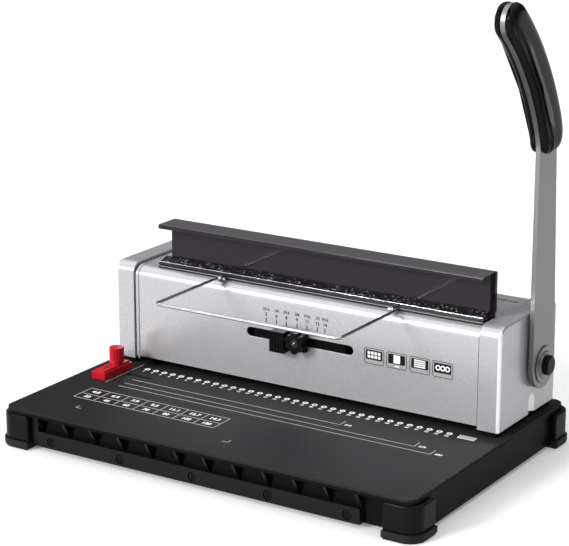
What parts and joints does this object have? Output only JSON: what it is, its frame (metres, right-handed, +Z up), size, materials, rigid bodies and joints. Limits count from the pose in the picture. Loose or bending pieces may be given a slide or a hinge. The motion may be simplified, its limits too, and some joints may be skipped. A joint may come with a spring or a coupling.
{
  "type": "wire binding machine",
  "caption": "Manual desk binding machine: lever, square-hole punch in a box housing, wire closer on top, flat base with paper guide and chip tray.",
  "frame": {"origin": "centre of the base's footprint on the table, under the middle of the machine", "axes": "+X right along the punch row (the handle's side), +Y to the rear, +Z up"},
  "size_m": [0.3758, 0.2526, 0.3584],
  "materials": {
    "base_plastic": "fine-grained black moulding",
    "plate_paint": "dark grey powder coat",
    "sheet_steel": "zinc-plated sheet",
    "cover_paint": "silver paint",
    "cap_paint": "silver paint on cast caps",
    "black_steel": "black oxide",
    "jaw_paint": "gloss black",
    "tool_steel": "ground steel",
    "bright_steel": "bright plated",
    "bronze": "sintered bronze",
    "rubber": "moulded rubber",
    "grip_plastic": "gloss black moulding",
    "tray_plastic": "black moulding",
    "red_plastic": "red moulding",
    "bar_steel": "satin plated flat bar"
  },
  "bodies": {
    "machine": {"base_frame": "base_plastic", "top_plate": "plate_paint", "bottom_plate": "black_steel", "bottom_screws": "sheet_steel", "front_panel": "base_plastic", "panel_screws": "black_steel", "corner_boots": "base_plastic", "foot_pads": "rubber", "tray_rails": "sheet_steel", "housing_cover": "cover_paint", "end_cap_left": "cap_paint", "end_cap_right": "cap_paint", "housing_plinth": "base_plastic", "cap_screws": "sheet_steel", "side_frames": "black_steel", "frame_screws": "sheet_steel", "tie_rods": "bright_steel", "tie_rod_nuts": "sheet_steel", "die_bar": "black_steel", "paper_stop": "black_steel", "pin_guide": "black_steel", "guide_posts": "bright_steel", "shaft_bushes": "bronze", "return_springs": "bright_steel", "rack_guides": "tray_plastic", "closer_platen": "jaw_paint", "closer_pad": "rubber", "rest_eyes": "bright_steel"},
    "handle": {"handle_bar": "bar_steel", "grip_outer": "grip_plastic", "grip_inner": "grip_plastic", "grip_pins": "sheet_steel", "handle_spacer": "tray_plastic", "handle_washers": "bright_steel", "handle_bolt": "black_steel", "cross_shaft": "bright_steel", "punch_pinions": "tool_steel", "closer_sectors": "tool_steel"},
    "punch": {"punch_bar": "tool_steel", "punch_pins": "tool_steel", "punch_racks": "tool_steel"},
    "closer": {"closer_bar": "jaw_paint", "closer_racks": "tool_steel", "rack_screws": "sheet_steel", "stop_finger": "sheet_steel"},
    "rest": {"wire_rest": "bright_steel"},
    "adjuster": {"adjuster_slider": "grip_plastic", "depth_gauge": "black_steel", "clamp_knob": "grip_plastic", "clamp_screw": "bright_steel"},
    "guide": {"guide_block": "red_plastic", "guide_nut": "sheet_steel"},
    "knob": {"guide_knob": "red_plastic"},
    "tray": {"chip_tray": "tray_plastic"}
  },
  "joints": [
    {"name": "handle_turn", "type": "hinge", "parent": "machine", "child": "handle", "pos_m": [0, 0.0777, 0.0745], "axis": [1, 0, 0], "range_deg": [0, 65], "stiffness_Nm_per_rad": 0.6, "springref_deg": -57.3},
    {"name": "punch_slide", "type": "slide", "parent": "machine", "child": "punch", "axis": [0, 0, -1], "range_m": [0, 0.01025], "deforming": ["return_springs"]},
    {"name": "closer_slide", "type": "slide", "parent": "machine", "child": "closer", "axis": [0, 0, -1], "range_m": [0, 0.0222]},
    {"name": "rest_fold", "type": "hinge", "parent": "machine", "child": "rest", "pos_m": [0, 0.018, 0.1172], "axis": [1, 0, 0], "range_deg": [-80, 74]},
    {"name": "adjuster_slide", "type": "slide", "parent": "machine", "child": "adjuster", "axis": [1, 0, 0], "range_m": [-0.022, 0.036]},
    {"name": "guide_slide", "type": "slide", "parent": "machine", "child": "guide", "axis": [1, 0, 0], "range_m": [-0.006, 0.03]},
    {"name": "guide_knob_turn", "type": "hinge", "parent": "guide", "child": "knob", "pos_m": [-0.1575, -0.01, 0.038], "axis": [0, 0, 1], "range_deg": [0, 180]},
    {"name": "tray_slide", "type": "slide", "parent": "machine", "child": "tray", "axis": [-1, 0, 0], "range_m": [0, 0.2]}
  ],
  "couplings": [
    {"joint": "punch_slide", "follows": "handle_turn", "m_per_rad": 0.009},
    {"joint": "closer_slide", "follows": "handle_turn", "m_per_rad": 0.0195}
  ]
}
